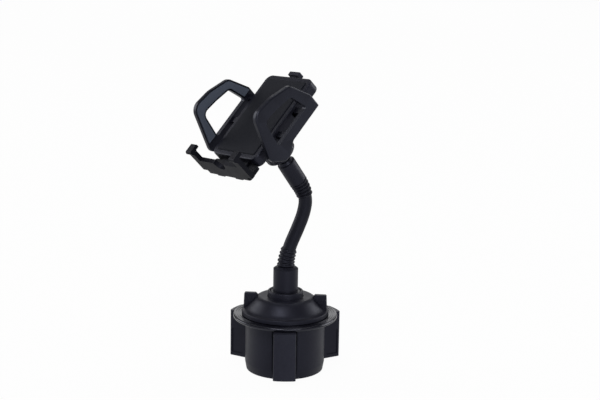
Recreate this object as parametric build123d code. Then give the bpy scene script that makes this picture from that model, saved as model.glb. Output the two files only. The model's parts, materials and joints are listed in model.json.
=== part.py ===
"""Cup-holder phone mount: an expanding cup base, a bendable neck and a sprung-arm cradle.

Millimetres, +Z up. The origin is the centre of the base's foot, on the surface it stands on.
The base and the neck are drawn in that frame. The cradle is drawn lying on its back, with X
across it, Y up along the phone and Z out of the screen, and is then set on the ball.
"""
from build123d import *
import math
import os

# ---------------------------------------------------------------- clearances
SLIDE_GAP = 0.3  # between parts that slide or turn past each other
RUN_FIT = 0.08  # radial, shaft in bore
SEAT_FIT = 0.05  # radial or per face, between parts fixed together
BEYOND = 200.0  # a trimming sheet's size, larger than any part

# ---------------------------------------------------------------- cup base
BODY_R = 32.85
BODY_TOP = 44.5
BODY_WALL = 2.2
TOE_DRAFT = 1.15  # how much narrower the body is at its toe
TOE_H = 6.4
BODY_LIFT = 0.6  # the rubber foot stands this far below the shell
FLOOR_T = 2.8
FOOT_R = 26.0
FOOT_T = 1.8
FOOT_GROOVE = 0.4

FLANGE_R = 42.85
FLANGE_T = 2.7
RING_RADII = (37.4, 39.2, 41.0)
RING_H = 0.3
RING_W = 0.7

FLANGE_SCREW_LEN = 10.0
SCREW_ORBIT_INSET = 2.3  # cover screw bosses, inside the shell's inner wall
BOSS_R = 3.0
SCREW_R = 1.25
HEAD_R = 2.3
HEAD_DEPTH = 1.2
STANDING = (Align.CENTER, Align.CENTER, Align.MIN)

# ---------------------------------------------------------------- wings
WING_COUNT = 3
WING_FIRST = -90.0
WING_W = 18.3
WING_REACH = 48.6
WING_BOTTOM = 5.0
WING_WALL = 2.0
WING_FACE_T = 2.6
WING_TRAVEL = 11.0
WING_STEP = 11.6  # radial depth of the full-height outer block
CHEEK_LEN = 13.0
SLOT_SIDE_GAP = 0.9
LIP_H = 0.4
LIP_W = 1.0
GUIDE_T = 1.6
GUIDE_H = 26.0
TONGUE_W = 10.0
TONGUE_T = 4.0
PANEL_BOTTOM = 3.0
PANEL_H = 21.0
PANEL_DEPTH = 0.6
PIN_R = 2.0
PIN_ORBIT = 21.0

# ---------------------------------------------------------------- dial
DIAL_R = 35.8
DIAL_RIM_H = 2.9
DIAL_TOP = 62.5
DIAL_BROW_R = 21.0  # where the bell starts to fall away
DIAL_WAIST_R = 29.3  # where the bell meets the rim's flare
DIAL_FALL = 7.6  # from the top to the waist
DIAL_WALL = 2.0
HUB_WALL = 3.3
CLIP_SEAT = 0.5  # depth of the snap ring's groove
EAR_ANGLE = -5.0
EAR_REACH = 33.9
EAR_LEN = 12.0
EAR_T = 4.4
EAR_TOP = 64.0
EAR_CHAMFER = 2.6
SPINDLE_R = 8.2
SPINDLE_NECK_R = 6.3
SPINDLE_FLAT = 0.8  # depth of the two flats that turn the scroll plate
SCROLL_T = 4.0
SCROLL_GAP = 0.95  # to the cover screws' bosses
SCROLL_LEAD = 30.0
GROOVE_DEPTH = 3.0
CLIP_T = 0.6
CLIP_R = 7.4
WASHER_R = 14.0
WASHER_T = 0.8

# ---------------------------------------------------------------- post, stem and neck
POST_R = 4.8
POST_FOOT_R = 10.0
POST_FOOT_T = 2.0
POST_SCREW_ORBIT = 7.4
COLLAR_R = 14.6
COLLAR_WALL = 2.0
COLLAR_BOTTOM = 61.4
COLLAR_H = 5.6
STEM_R = 10.2
STEM_TOP = 87.4
STEM_CHAMFER = 2.4
STEM_FLANGE_H = 5.0
POST_ENGAGE = 10.4  # how far the post reaches up into the stem

NECK_R = 5.5
CORE_R = 2.6
NECK_GAP = 0.5  # between a link's round end and the cup of the link below
FIRST_BEND_Z = 92.0
# each link of the neck: length, lean from upright, heading
NECK_LINKS = (
    (13.3, 13.8, 0.0),
    (14.7, 22.8, 0.0),
    (13.9, 20.3, 0.0),
    (11.7, 9.5, -9.0),
    (10.0, 17.6, 214.0),
)
HEAD_LEN = 42.5
HEAD_LEAN = 36.1
HEAD_HEADING = 215.4
TUBE_R = 7.45
TUBE_START = 12.5  # below the ball's centre
TUBE_LEN = 20.5
TUBE_NOSE = 2.1  # the tube's tapered end towards the ball
TUBE_NOSE_R = 5.2
STUD_R = 4.2
STUD_DEPTH = 8.5
BOOT_BORE_R = 5.95
BOOT_RIB_PITCH = 3.0
BOOT_RIB_W = 1.4
BOOT_LEAD = 1.4  # from a boot's fixed end to the middle of its first rib
LOWER_BOOT_R = 6.6
LOWER_BOOT_RIBS = 5
LOWER_RIB_R = 7.3
RIB_TAPER = 0.15
UPPER_BOOT_R = 6.9
UPPER_BOOT_RIBS = 3
UPPER_RIB_PITCH = 6.3
UPPER_RIB_R = 7.5
UPPER_RIB_TAPER = 0.5

# ---------------------------------------------------------------- ball joint
BALL_R = 8.5
COLLET_R = 9.8
COLLET_ABOVE = 4.6
COLLET_BELOW = 2.6
COLLET_SPLITS = 6
COLLET_HOOP = 2.0
PAD_SPREAD = 32.0  # half angle of the friction pad
PAD_T = 1.8
SOCKET_R = 11.2
SOCKET_FLANGE_R = 15.0
SOCKET_FLANGE_T = 2.0
SOCKET_TIP_BELOW = -1.0  # the socket's open end, below the ball's centre
NUT_R = 13.1
NUT_LEN = 13.5
NUT_LIP = 1.4
NUT_OPENING_R = 8.5
NUT_GRIPS = 18
GRIP_DEPTH = 0.6
GRIP_R = 1.2
GRIP_MARGIN = 2.2

# ---------------------------------------------------------------- cradle, lying on its back
CRADLE_HEADING = 215.7
CRADLE_ELEVATION = 46.2
CRADLE_ROLL = 4.75
BALL_DOWN = 29.5  # ball centre below the cradle's reference point
BALL_BEHIND = 42.0  # and behind the screen plane

CASE_HALF_W = 28.0
CASE_TOP = 20.5
CASE_BOTTOM = -62.0
CASE_FRONT = -10.1
CASE_BACK = -20.0
CASE_SPLIT = -14.2
CASE_WALL = 1.8
CASE_CORNER = 6.0
FRONT_WALL = 1.6
PAD_PROUD = 0.8
PAD_RECESS = 0.4
PAD_MARGIN = 4.5
CASE_SCREW_SINK = 1.3
CASE_SCREW_X = 22.5
CASE_SCREW_INSET = 6.5

GEAR_MODULE = 0.8
GEAR_TEETH = 12
PRESSURE_ANGLE = 25.0
BACKLASH = 0.12
GEAR_Y = -17.0
AXLE_R = 1.6
BAR_T = 4.0
RACK_W = 5.0
GUIDE_W = 5.0
BAR_SPACING = 2.6  # between a rack's back and the guide bar next to it
RACK_REACH = 14.0
GUIDE_REACH = 16.0

ARM_INNER = 36.4
ARM_OUTER = 41.0
ARM_RIM = 0.5  # how far the frame's rim stands back from the pad's face
ARM_PAD_T = 1.5
ARM_BAND = 1.5  # width of the rim round the pad
PAD_GROOVE = 0.5  # the groove between the rim and the pad
PAD_BACK = -9.5  # the arm pads end here, in front of the case
ARM_IN = 6.5
# corners of the side loop and of its window: along the phone, out of the screen, rounding
LOOP_CORNERS = (
    (-44.0, 21.9, 9.0),
    (-24.0, 19.2, 26.0),
    (-4.9, 12.2, 6.0),
    (4.0, -8.0, 2.0),
    (3.8, -20.5, 0.8),
    (-32.0, -20.5, 4.0),
    (-42.5, -26.8, 3.5),
    (-48.0, -26.0, 4.0),
    (-58.2, -15.5, 6.0),
)
WINDOW_CORNERS = (
    (-40.7, 11.0, 5.0),
    (-25.8, 8.9, 22.0),
    (-10.6, 5.5, 4.0),
    (-5.6, -11.8, 1.5),
    (-44.8, -11.8, 1.5),
)

FOOT_HALF_W = 27.0
LEDGE_Y = -71.2
LEDGE_T = 3.8
LEDGE_FRONT = -4.0
FOOT_PLATE_T = 3.0
FOOT_PLATE_BACK = -19.5
HOOK_IN = 24.5
HOOK_OUT = 31.0
HOOK_FRONT = 7.4
HOOK_LIP_T = 3.0
HOOK_LIP_Y = -67.5
HOOK_BACK = -17.0
HOOK_HEEL = 1.6
HOOK_PAD_T = 0.8
PAD_STAND = 0.3  # how far the hook pads stand out of the ledge
NOTCH_R = 6.5
RAIL_X = 11.5
RAIL_W = 9.0
RAIL_T = 3.0
RAIL_TOP_Y = -40.0
FENCE_T = 1.2
RIB_H = 1.2

BUTTON_TRAVEL = 2.0
BUTTON_W = 12.0
BUTTON_H = 4.0
SLIDER_W = 8.0
SLIDER_T = 0.7
PAWL_W = 4.0
PAWL_T = 2.2
SPRING_LUG_Y = 16.2
SPRING_STOP_Y = 6.2
SPRING_COIL_R = 1.9
SPRING_WIRE_R = 0.35
SPRING_TURNS = 6

# ================================================================ shared helpers


def ring(outer, inner, low, high):
    """A round ring about Z between two heights."""
    return Pos(0, 0, low) * extrude(Circle(outer) - Circle(inner), high - low)


def disc(radius, low, high):
    """A round disc about Z between two heights."""
    return Pos(0, 0, low) * extrude(Circle(radius), high - low)


def block(x0, x1, y0, y1, z0, z1):
    """A box given by its limits."""
    middle = Pos((x0 + x1) / 2, (y0 + y1) / 2, (z0 + z1) / 2)
    return middle * Box(x1 - x0, y1 - y0, z1 - z0)


def turned(points):
    """The solid that an outline of (radius, height) points makes when turned about Z."""
    outline = make_face(Polyline(*[(r, 0, z) for r, z in points], close=True))
    return revolve(outline, Axis.Z)


def spread(angles, thing):
    """Copies of a thing turned about Z to each angle."""
    return [Rot(0, 0, angle) * thing for angle in angles]


def along(start, direction):
    """The place whose Z runs from a point in a direction."""
    return Plane(origin=start, z_dir=direction).location


def spherical(length, lean, heading):
    """A vector of a length, leaning from upright towards a heading."""
    flat = length * math.sin(math.radians(lean))
    turn = math.radians(heading)
    return Vector(flat * math.cos(turn), flat * math.sin(turn), length * math.cos(math.radians(lean)))


def screw(length):
    """A countersunk screw with a cross slot, its head's face at Z = 0 and its tip below."""
    head = Pos(0, 0, -HEAD_DEPTH) * Cone(SCREW_R, HEAD_R, HEAD_DEPTH, align=STANDING)
    slot_w = HEAD_R * 0.28
    slot = Box(HEAD_R * 1.2, slot_w, HEAD_DEPTH) + Box(slot_w, HEAD_R * 1.2, HEAD_DEPTH)
    return head + disc(SCREW_R, -length, -HEAD_DEPTH) - slot


def screw_hole(depth, access=1.0):
    """The hole that a countersunk screw sits in, placed like the screw."""
    fit = SEAT_FIT
    hole = Pos(0, 0, -HEAD_DEPTH) * Cone(SCREW_R + fit, HEAD_R + fit, HEAD_DEPTH, align=STANDING)
    return hole + disc(SCREW_R + fit, -depth, 0) + disc(HEAD_R + fit, 0, access)


# ================================================================ the base's shared places

flange_top = BODY_TOP + FLANGE_T
dial_bottom = flange_top + RING_H + SLIDE_GAP
dial_rim_top = dial_bottom + DIAL_RIM_H
scroll_top = BODY_TOP - SLIDE_GAP
scroll_bottom = scroll_top - SCROLL_T
spindle_end = scroll_bottom - CLIP_T - SLIDE_GAP / 2
tongue_top = spindle_end - SLIDE_GAP
tongue_bottom = tongue_top - TONGUE_T
floor_top = BODY_LIFT + FLOOR_T
shell_inner_r = BODY_R - BODY_WALL
wing_sill = WING_BOTTOM - SLIDE_GAP
wing_top = BODY_TOP - SLIDE_GAP
wing_angles = [WING_FIRST + k * 360 / WING_COUNT for k in range(WING_COUNT)]
boss_angles = [angle + 180 / WING_COUNT for angle in wing_angles]
boss_orbit = shell_inner_r - SCREW_ORBIT_INSET
scroll_r = boss_orbit - BOSS_R - SCROLL_GAP
step_r = WING_REACH - WING_STEP
cheek_end = step_r - CHEEK_LEN
tongue_end = PIN_ORBIT - PIN_R - 1.0
post_top = COLLAR_BOTTOM + POST_ENGAGE
dial_turn = 360 * WING_TRAVEL / SCROLL_LEAD


def foot_pad():
    """The rubber disc that the base stands on, with shallow grip grooves below."""
    pad = disc(FOOT_R, 0, FOOT_T)
    for k in (1, 2):
        groove_r = FOOT_R * (0.4 + 0.2 * k)
        pad -= ring(groove_r + 0.6, groove_r - 0.6, 0, FOOT_GROOVE)
    return pad


def cup_shell():
    """The cup: drafted toe, plain wall with three wing slots, runners and screw bosses inside."""
    toe_r = BODY_R - TOE_DRAFT
    shell = turned(
        [
            (0, BODY_LIFT),
            (toe_r, BODY_LIFT),
            (BODY_R, BODY_LIFT + TOE_H),
            (BODY_R, BODY_TOP),
            (shell_inner_r, BODY_TOP),
            (shell_inner_r, floor_top),
            (0, floor_top),
        ]
    )
    shell -= disc(FOOT_R + SEAT_FIT, BODY_LIFT - 1, FOOT_T)
    half_slot = WING_W / 2 + SLOT_SIDE_GAP
    reach = BODY_R + 1
    slot = block(shell_inner_r / 2, reach, -half_slot, half_slot, wing_sill, BODY_TOP + 1)
    lip_r = math.sqrt(BODY_R**2 - half_slot**2)
    lip_low = BODY_LIFT + TOE_H + 1
    lip = block(lip_r - 1.0, lip_r + LIP_H, half_slot, half_slot + LIP_W, lip_low, BODY_TOP)
    lips = [lip, mirror(lip, Plane.XZ)]
    for side in lips:
        shell += spread(wing_angles, side)
    shell -= spread(wing_angles, slot)

    rail_in = WING_W / 2 + SLIDE_GAP
    rail_start = (rail_in + GUIDE_T) / math.sin(math.radians(180 / WING_COUNT)) + 0.5
    rail_reach = shell_inner_r - 0.6
    rooted = floor_top - 0.5
    rail = block(rail_start, rail_reach, rail_in, rail_in + GUIDE_T, rooted, floor_top + GUIDE_H)
    half_wing = WING_W / 2
    runner_end = shell_inner_r - 0.2
    runner = block(POST_FOOT_R + 1, runner_end, half_wing - WING_WALL, half_wing, rooted, wing_sill)
    for side in (rail, mirror(rail, Plane.XZ), runner, mirror(runner, Plane.XZ)):
        shell += spread(wing_angles, side)
    boss = Pos(boss_orbit, 0, 0) * disc(BOSS_R, rooted, BODY_TOP)
    pilot_end = flange_top - FLANGE_SCREW_LEN - 1
    pilot = Pos(boss_orbit, 0, 0) * disc(SCREW_R + SEAT_FIT, pilot_end, BODY_TOP + 1)
    shell += spread(boss_angles, boss)
    shell -= spread(boss_angles, pilot)
    post_hole = Pos(POST_SCREW_ORBIT, 0, 0) * disc(SCREW_R + SEAT_FIT, FOOT_T, floor_top + 1)
    return shell - spread(boss_angles, post_hole)


def base_flange():
    """The wide round cover on the cup, ringed on top, with the dial's bearing hole."""
    plate = ring(FLANGE_R, SPINDLE_R + SLIDE_GAP, BODY_TOP, flange_top)
    plate = fillet(plate.edges().filter_by(GeomType.CIRCLE).group_by(SortBy.RADIUS)[-1], 1.1)
    for radius in RING_RADII:
        plate += ring(radius + RING_W / 2, radius - RING_W / 2, flange_top - 0.2, flange_top + RING_H)
    return plate - spread(boss_angles, Pos(boss_orbit, 0, flange_top) * screw_hole(FLANGE_T + 1))


def flange_screws():
    """The three screws that hold the cover on the cup."""
    return spread(boss_angles, Pos(boss_orbit, 0, flange_top) * screw(FLANGE_SCREW_LEN))


def center_post():
    """The post that carries the neck: a screwed foot on the floor and a tube up into the stem."""
    post = disc(POST_R, floor_top, post_top) + disc(POST_FOOT_R, floor_top, floor_top + POST_FOOT_T)
    post -= disc(POST_R - 1.6, floor_top + POST_FOOT_T, post_top + 1)
    hole = Pos(POST_SCREW_ORBIT, 0, floor_top + POST_FOOT_T) * screw_hole(POST_FOOT_T + 1)
    return post - spread(boss_angles, hole)


def post_screws():
    """The three screws in the post's foot."""
    length = POST_FOOT_T + floor_top - FOOT_T - 0.2
    place = Pos(POST_SCREW_ORBIT, 0, floor_top + POST_FOOT_T)
    return spread(boss_angles, place * screw(length))


def thrust_washer():
    """The plain washer that the dial's hub turns on."""
    return ring(WASHER_R, SPINDLE_R + SLIDE_GAP, flange_top, flange_top + WASHER_T)


def wing():
    """One sliding wing along +X: outer block, guide cheeks and a tongue with its scroll pin."""
    half = WING_W / 2
    outer = block(step_r, WING_REACH + 1, -half, half, WING_BOTTOM, wing_top)
    cheeks = block(cheek_end, step_r + 1, -half, half, WING_BOTTOM, tongue_top)
    body = (outer + cheeks) & disc(WING_REACH, 0, BODY_TOP)
    body = chamfer(body.edges().filter_by(Axis.Z).sort_by(Axis.X)[-2:], 0.8)
    face_back = WING_REACH - WING_FACE_T
    hollow = half - WING_WALL
    room = block(cheek_end - 1, face_back, -hollow, hollow, WING_BOTTOM - 1, tongue_bottom)
    ceiling = wing_top - WING_WALL
    upper = block(step_r + WING_WALL, face_back, -hollow, hollow, tongue_bottom - 1, ceiling)
    body -= room + upper
    floor_web = block(
        step_r, WING_REACH - 2, -half + 0.5, half - 0.5, WING_BOTTOM, WING_BOTTOM + WING_WALL
    )
    body += floor_web
    panel_low = WING_BOTTOM + PANEL_BOTTOM
    for side in (-1, 1):
        low, high = sorted((side * (half - PANEL_DEPTH), side * (half + 1)))
        body -= block(
            step_r - 1.5, WING_REACH - WING_WALL - 1.0, low, high, panel_low, panel_low + PANEL_H
        )
    tongue = block(tongue_end, cheek_end + 1, -TONGUE_W / 2, TONGUE_W / 2, tongue_bottom, tongue_top)
    pin_top = scroll_bottom + GROOVE_DEPTH - SLIDE_GAP
    pin = Pos(PIN_ORBIT, 0, 0) * disc(PIN_R, tongue_top - 1, pin_top)
    return body + tongue + pin


def bell():
    """The outline of the dial's bell, from its brow down to the top of its rim."""
    waist_z = DIAL_TOP - DIAL_FALL
    flare_r = (DIAL_WAIST_R + DIAL_R) / 2
    return Spline(
        (DIAL_BROW_R, 0, DIAL_TOP - 0.3),
        (DIAL_BROW_R + (DIAL_WAIST_R - DIAL_BROW_R) * 0.55, 0, DIAL_TOP - DIAL_FALL * 0.4),
        (DIAL_WAIST_R, 0, waist_z),
        (flare_r, 0, dial_rim_top + (waist_z - dial_rim_top) * 0.26),
        (DIAL_R - 0.4, 0, dial_rim_top + 0.3),
        tangents=[(1, 0, -0.15), (1, 0, -0.2)],
    )


def bell_inside(depth):
    """The outline inside the bell at a depth, as (radius, height), from the rim up to the web."""
    waist_z = DIAL_TOP - DIAL_FALL
    middle_r = DIAL_BROW_R + (DIAL_WAIST_R - DIAL_BROW_R) * 0.55
    return [
        (DIAL_R - depth, dial_bottom),
        (DIAL_R - depth, dial_rim_top - depth * 0.6),
        (DIAL_WAIST_R - depth, waist_z - depth),
        (middle_r - depth * 0.7, DIAL_TOP - DIAL_FALL * 0.4 - depth * 0.8),
        (DIAL_BROW_R - depth, COLLAR_BOTTOM - SLIDE_GAP - depth),
    ]


def dial_knob():
    """The bell-shaped dial with its two thumb ears, hub and spindle."""
    web_top = COLLAR_BOTTOM - SLIDE_GAP
    eye_r = COLLAR_R + SLIDE_GAP
    bore_r = POST_R + RUN_FIT
    hub_r = SPINDLE_R + HUB_WALL
    crown = bell()
    start, end = crown @ 0, crown @ 1
    outside = Polyline(
        end,
        (DIAL_R, 0, dial_rim_top - 0.1),
        (DIAL_R, 0, dial_bottom),
        *[(r, 0, z) for r, z in bell_inside(DIAL_WALL)],
        (hub_r, 0, web_top - DIAL_WALL),
        (hub_r, 0, flange_top + WASHER_T + SLIDE_GAP),
        (SPINDLE_R, 0, flange_top + WASHER_T + SLIDE_GAP),
        (SPINDLE_R, 0, scroll_top),
        (SPINDLE_NECK_R, 0, scroll_top),
        (SPINDLE_NECK_R, 0, scroll_bottom),
        (SPINDLE_NECK_R - CLIP_SEAT, 0, scroll_bottom),
        (SPINDLE_NECK_R - CLIP_SEAT, 0, scroll_bottom - CLIP_T),
        (SPINDLE_NECK_R, 0, scroll_bottom - CLIP_T),
        (SPINDLE_NECK_R, 0, spindle_end),
        (bore_r, 0, spindle_end),
        (bore_r, 0, web_top),
        (eye_r, 0, web_top),
        (eye_r, 0, start.Z),
        start,
    )
    knob = revolve(make_face(crown + outside), Axis.Z)
    flat = SPINDLE_NECK_R - SPINDLE_FLAT
    key = block(-SPINDLE_NECK_R, SPINDLE_NECK_R, flat, SPINDLE_NECK_R + 1, 0, scroll_top)
    knob -= key + mirror(key, Plane.XZ)
    return knob + spread((EAR_ANGLE, EAR_ANGLE + 180), ear())


def ear():
    """One thumb ear along +X: an upright fin from the dial's shoulder to its rim."""
    inner = EAR_REACH - EAR_LEN
    root = dial_rim_top - 0.6
    fin = make_face(
        Polyline(
            (inner - 1.0, root, 0),
            (EAR_REACH + 0.6, root, 0),
            (EAR_REACH, EAR_TOP, 0),
            (inner + EAR_CHAMFER, EAR_TOP, 0),
            (inner, EAR_TOP - EAR_CHAMFER, 0),
            close=True,
        )
    )
    fin = fillet(fin.vertices().group_by(Axis.Y)[-1], 1.2)
    blade = Rot(90, 0, 0) * Pos(0, 0, -EAR_T / 2) * extrude(fin, EAR_T)
    blade = chamfer(blade.edges().group_by(Axis.Z)[-1], 0.6)
    inside = bell_inside(DIAL_WALL * 0.5)
    cavity = turned([(0, dial_bottom), *inside, (0, inside[-1][1])])
    return blade - cavity


def scroll_groove(start_angle):
    """One spiral groove of the scroll plate, cut from below, for the pin of one wing."""
    half = PIN_R + SLIDE_GAP
    pitch = SCROLL_LEAD / (2 * math.pi)
    swept = math.radians(dial_turn)
    base = math.radians(start_angle)

    def point(turn, side):
        radius = PIN_ORBIT - pitch * turn
        angle = base - turn
        slope = math.hypot(radius, pitch)
        out = Vector(radius * math.cos(angle), radius * math.sin(angle), 0)
        tangent = Vector(math.sin(angle), -math.cos(angle), 0) * radius
        tangent += Vector(-math.cos(angle), -math.sin(angle), 0) * pitch
        normal = Vector(-tangent.Y, tangent.X, 0) / slope
        return out + normal * (side * half)

    steps = [swept * k / 8 for k in range(9)]
    left = Spline(*[point(t, 1) for t in steps])
    right = Spline(*[point(t, -1) for t in reversed(steps)])
    ends = [Line(left @ 1, right @ 0), Line(right @ 1, left @ 0)]
    face = make_face([left.edge(), ends[0].edge(), right.edge(), ends[1].edge()])
    groove = extrude(face, GROOVE_DEPTH)
    for turn in (0, swept):
        groove += Pos(*point(turn, 0)) * disc(half, 0, GROOVE_DEPTH)
    return groove


def scroll_plate():
    """The plate under the cover whose spiral grooves drive the wings' pins."""
    plate = disc(scroll_r, scroll_bottom, scroll_top)
    eye = disc(SPINDLE_NECK_R + SEAT_FIT, scroll_bottom - 1, scroll_top + 1)
    flat = SPINDLE_NECK_R - SPINDLE_FLAT + SEAT_FIT
    eye &= block(-scroll_r, scroll_r, -flat, flat, 0, BODY_TOP)
    for angle in wing_angles:
        plate -= Pos(0, 0, scroll_bottom) * scroll_groove(angle)
    return plate - eye


def spindle_clip():
    """The snap ring that keeps the scroll plate on the spindle."""
    inner = SPINDLE_NECK_R - CLIP_SEAT + SEAT_FIT
    clip = ring(CLIP_R, inner, scroll_bottom - CLIP_T, scroll_bottom)
    return clip - block(0, CLIP_R + 1, -1.2, 1.2, 0, BODY_TOP)


def stem_collar():
    """The rounded ring round the stem's foot, standing in the dial's eye."""
    inner = COLLAR_R - COLLAR_WALL
    collar = ring(COLLAR_R, inner, COLLAR_BOTTOM, COLLAR_BOTTOM + COLLAR_H)
    lip = collar.edges().filter_by(GeomType.CIRCLE).group_by(Axis.Z)[-1]
    return fillet(lip, COLLAR_WALL * 0.45)


def stem():
    """The stiff stem over the post that holds the lower end of the neck."""
    flange_r = COLLAR_R - COLLAR_WALL - SEAT_FIT
    flange_top_z = COLLAR_BOTTOM + STEM_FLANGE_H
    body = turned(
        [
            (0, COLLAR_BOTTOM),
            (flange_r, COLLAR_BOTTOM),
            (flange_r, flange_top_z - 0.6),
            (flange_r - 0.6, flange_top_z),
            (STEM_R, flange_top_z),
            (STEM_R, STEM_TOP - STEM_CHAMFER * 0.75),
            (STEM_R - STEM_CHAMFER, STEM_TOP),
            (0, STEM_TOP),
        ]
    )
    body -= disc(POST_R + SEAT_FIT, COLLAR_BOTTOM - 1, post_top + 0.2)
    return body - disc(NECK_R + SEAT_FIT, post_top + 1.0, STEM_TOP + 1)


# ================================================================ the neck

bends = [Vector(0, 0, FIRST_BEND_Z)]
for link in NECK_LINKS:
    bends.append(bends[-1] + spherical(*link))
head_up = spherical(1.0, HEAD_LEAN, HEAD_HEADING)
ball = bends[-1] + head_up * HEAD_LEN
cup_r = NECK_R + NECK_GAP


def neck_sleeve(k):
    """The rubber sleeve of one link: a round end in the cup below, a cup above, a bore for its core."""
    start, end = bends[k - 1], bends[k]
    way = end - start
    rod = along(start, way) * disc(NECK_R, 0, way.length) + Pos(*start) * Sphere(NECK_R)
    bore = along(start, way) * disc(CORE_R + SEAT_FIT, -NECK_R - 1, way.length + 1)
    return rod - Pos(*end) * Sphere(cup_r) - bore


def neck_core(k):
    """The steel core of one link, from its round end to the cup above."""
    start, end = bends[k - 1], bends[k]
    way = end - start
    rod = along(start, way) * disc(CORE_R, 0, way.length)
    tip = Pos(*start) * Sphere(NECK_R) & along(start, way) * disc(CORE_R, -NECK_R, 0.01)
    return rod + tip - Pos(*end) * Sphere(cup_r)


def neck_anchor():
    """The sleeve's plug in the stem, below the first bend."""
    plug = ring(NECK_R, CORE_R + SEAT_FIT, post_top + 1.0, FIRST_BEND_Z)
    return plug - Pos(*bends[0]) * Sphere(cup_r)


def neck_root_core():
    """The core's end in the stem."""
    return disc(CORE_R, post_top + 1.0, FIRST_BEND_Z) - Pos(*bends[0]) * Sphere(cup_r)


def boot(stations, start_way, end_way, start_r, end_r, ribs):
    """A ribbed rubber boot along a curve through a few stations, tapering between two radii."""
    path = Spline(*stations, tangents=[start_way, end_way])
    first = Plane(origin=path @ 0, z_dir=path % 0)
    last = Plane(origin=path @ 1, z_dir=path % 1)
    sleeve = sweep([first * Circle(start_r), last * Circle(end_r)], path=path, multisection=True)
    sleeve -= sweep(first * Circle(BOOT_BORE_R), path=path)
    for place, radius in ribs:
        sleeve += place * ring(radius, BOOT_BORE_R + 0.3, -BOOT_RIB_W / 2, BOOT_RIB_W / 2)
    return sleeve


def lower_boot():
    """The ribbed boot where the neck leaves the stem."""
    low = STEM_TOP + SEAT_FIT
    rise = bends[0].Z - low
    way = (bends[1] - bends[0]).normalized()
    upper_len = (LOWER_BOOT_RIBS - 1) * BOOT_RIB_PITCH + BOOT_RIB_W + BOOT_LEAD - rise
    ribs = []
    for k in range(LOWER_BOOT_RIBS):
        up = BOOT_LEAD + k * BOOT_RIB_PITCH
        if up < rise:
            place = Pos(0, 0, low + up)
        else:
            place = along(bends[0] + way * (up - rise), way)
        ribs.append((place, LOWER_RIB_R - k * RIB_TAPER))
    stations = [Vector(0, 0, low), bends[0], bends[0] + way * upper_len]
    return boot(stations, Vector(0, 0, 1), way, LOWER_BOOT_R, LOWER_BOOT_R - 0.3, ribs)


def upper_boot():
    """The ribbed boot between the neck and the rigid head tube."""
    turn = bends[-1]
    reach = HEAD_LEN - TUBE_START - TUBE_LEN - SEAT_FIT
    way = (turn - bends[-2]).normalized()
    length = BOOT_LEAD + (UPPER_BOOT_RIBS - 1) * UPPER_RIB_PITCH + BOOT_RIB_W
    ribs = []
    for k in range(UPPER_BOOT_RIBS):
        drop = BOOT_LEAD + k * UPPER_RIB_PITCH
        if drop < reach:
            place = along(turn + head_up * (reach - drop), head_up)
        else:
            place = along(turn - way * (drop - reach), way)
        ribs.append((place, UPPER_RIB_R - k * UPPER_RIB_TAPER))
    stations = [turn - way * (length - reach), turn, turn + head_up * reach]
    return boot(stations, way, head_up, LOWER_BOOT_R - 0.4, UPPER_BOOT_R, ribs)


def upper_tube():
    """The rigid tube at the neck's head: the last round link end below, the stud's bore above."""
    far = HEAD_LEN - TUBE_START
    tube = along(bends[-1], head_up) * disc(TUBE_R, far - TUBE_LEN, far)
    rims = tube.edges().filter_by(GeomType.CIRCLE)
    tube = fillet(rims, 0.8)
    nose = Pos(0, 0, far - 1) * Cone(TUBE_R - 0.6, TUBE_NOSE_R, TUBE_NOSE + 1, align=STANDING)
    tube += along(bends[-1], head_up) * nose
    tube += along(bends[-1], head_up) * disc(NECK_R, 0, far - TUBE_LEN + 1)
    tube += Pos(*bends[-1]) * Sphere(NECK_R)
    bore = disc(STUD_R + SEAT_FIT, far - STUD_DEPTH, far + TUBE_NOSE + 1)
    return tube - along(bends[-1], head_up) * bore


def ball_stud():
    """The ball on its shank, pressed into the head tube."""
    shank_end = TUBE_START + STUD_DEPTH - 0.2
    neck_z = math.sqrt(BALL_R**2 - STUD_R**2)
    round_side = ThreePointArc((0, 0, -BALL_R), (BALL_R, 0, 0), (STUD_R, 0, neck_z))
    shank = Polyline((STUD_R, 0, neck_z), (STUD_R, 0, shank_end), (0, 0, shank_end), (0, 0, -BALL_R))
    return along(ball, -head_up) * revolve(make_face(round_side + shank), Axis.Z)


# ================================================================ the cradle's frame

heading = math.radians(CRADLE_HEADING)
elevation = math.radians(CRADLE_ELEVATION)
roll = math.radians(CRADLE_ROLL)
screen_out = Vector(
    math.cos(elevation) * math.cos(heading), math.cos(elevation) * math.sin(heading), math.sin(elevation)
)
level = Vector(-math.sin(heading), math.cos(heading), 0)
across = level * math.cos(roll) + screen_out.cross(level) * math.sin(roll)
phone_up = screen_out.cross(across)
cradle_origin = ball + phone_up * BALL_DOWN + screen_out * BALL_BEHIND
cradle = Plane(origin=cradle_origin, x_dir=across, z_dir=screen_out).location

ball_place = Pos(0, -BALL_DOWN, -BALL_BEHIND)
inner_floor = CASE_BACK + CASE_WALL
inner_roof = CASE_FRONT - PAD_RECESS - FRONT_WALL
slider_high = inner_roof - SLIDE_GAP
slider_low = slider_high - SLIDER_T
bar_top = slider_low - SLIDE_GAP
bar_bottom = bar_top - BAR_T
rail_bottom = inner_floor + SLIDE_GAP
rail_top = rail_bottom + RAIL_T
pitch_r = GEAR_MODULE * GEAR_TEETH / 2
addendum = GEAR_MODULE
dedendum = GEAR_MODULE * 1.25
tooth_tip_y = pitch_r - addendum
tooth_root_y = pitch_r + dedendum
rack_back = tooth_root_y + RACK_W
guide_near = rack_back + BAR_SPACING
guide_far = guide_near + GUIDE_W
bar_root = ARM_INNER + ARM_PAD_T + 0.5
ledge_low = LEDGE_Y - LEDGE_T


def plate(half_w, low, high, radius):
    """A flat rounded rectangle, centred on X, between two Y values."""
    return Pos(0, (low + high) / 2) * RectangleRounded(2 * half_w, high - low, radius)


def prism(face, low, high):
    """A flat face raised between two heights."""
    return Pos(0, 0, low) * extrude(face, high - low)


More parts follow.
